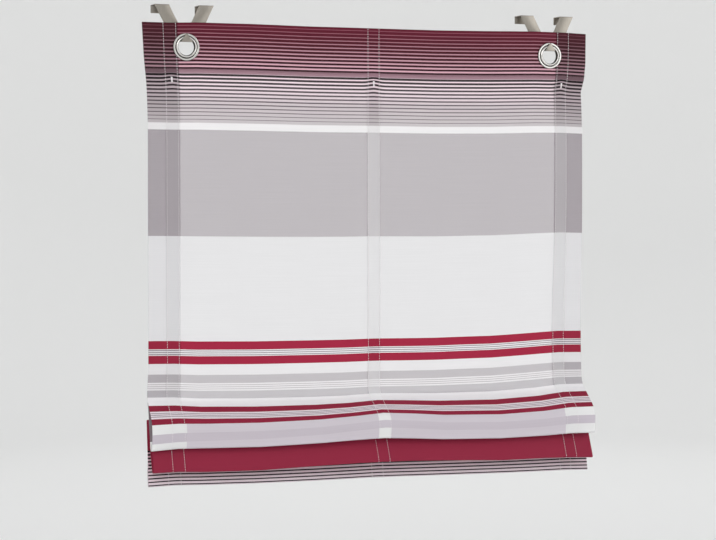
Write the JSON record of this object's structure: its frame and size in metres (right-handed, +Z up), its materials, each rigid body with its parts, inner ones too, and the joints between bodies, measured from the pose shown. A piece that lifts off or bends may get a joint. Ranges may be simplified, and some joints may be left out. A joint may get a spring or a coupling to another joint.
{
  "type": "roman blind",
  "caption": "Striped semi-sheer cloth blind hung by eyelets on sash hooks, gathered into two folds by tapes, rings, cords and spring cord locks.",
  "frame": {"origin": "on the top front edge of the window sash, midway between the two hooks", "axes": "+Z up, the front of the blind faces -Y, +X to the right seen from the front; the sash lies behind at +Y"},
  "size_m": [0.6, 0.0714, 0.604],
  "materials": {
    "striped_cloth": "semi-sheer woven polyester, wine red, grey and white cross stripes",
    "tape_cloth": "white woven tape",
    "cord_yarn": "white braided polyester",
    "ring_plastic": "moulded, satin",
    "lock_plastic": "moulded, satin",
    "spring_steel": "bright drawn wire",
    "bar_metal": "extruded, plain",
    "eyelet_metal": "satin nickel plate",
    "hook_steel": "bright rolled sheet"
  },
  "bodies": {
    "root": {"fabric_panel": "striped_cloth", "weight_bar": "bar_metal", "eyelet_front_left": "eyelet_metal", "eyelet_washer_left": "eyelet_metal", "sash_hook_left": "hook_steel", "eyelet_front_right": "eyelet_metal", "eyelet_washer_right": "eyelet_metal", "sash_hook_right": "hook_steel", "cord_tape_left": "tape_cloth", "ring_set_left": "ring_plastic", "lift_cord_left": "cord_yarn", "cord_lock_body_left": "lock_plastic", "cord_tape_center": "tape_cloth", "ring_set_center": "ring_plastic", "lift_cord_center": "cord_yarn", "cord_lock_body_center": "lock_plastic", "cord_tape_right": "tape_cloth", "ring_set_right": "ring_plastic", "lift_cord_right": "cord_yarn", "cord_lock_body_right": "lock_plastic", "cord_lock_spring_left": "spring_steel", "cord_lock_spring_center": "spring_steel", "cord_lock_spring_right": "spring_steel"},
    "lock_button_left": {"cord_lock_plunger_left": "lock_plastic"},
    "lock_button_center": {"cord_lock_plunger_center": "lock_plastic"},
    "lock_button_right": {"cord_lock_plunger_right": "lock_plastic"}
  },
  "joints": [
    {"name": "press_lock_left", "type": "slide", "parent": "root", "child": "lock_button_left", "axis": [-1, 0, 0], "range_m": [0, 0.003], "stiffness_N_per_m": 300, "springref_m": -0.004, "deforming": ["cord_lock_spring_left"]},
    {"name": "press_lock_center", "type": "slide", "parent": "root", "child": "lock_button_center", "axis": [-1, 0, 0], "range_m": [0, 0.003], "stiffness_N_per_m": 300, "springref_m": -0.004, "deforming": ["cord_lock_spring_center"]},
    {"name": "press_lock_right", "type": "slide", "parent": "root", "child": "lock_button_right", "axis": [-1, 0, 0], "range_m": [0, 0.003], "stiffness_N_per_m": 300, "springref_m": -0.004, "deforming": ["cord_lock_spring_right"]}
  ]
}
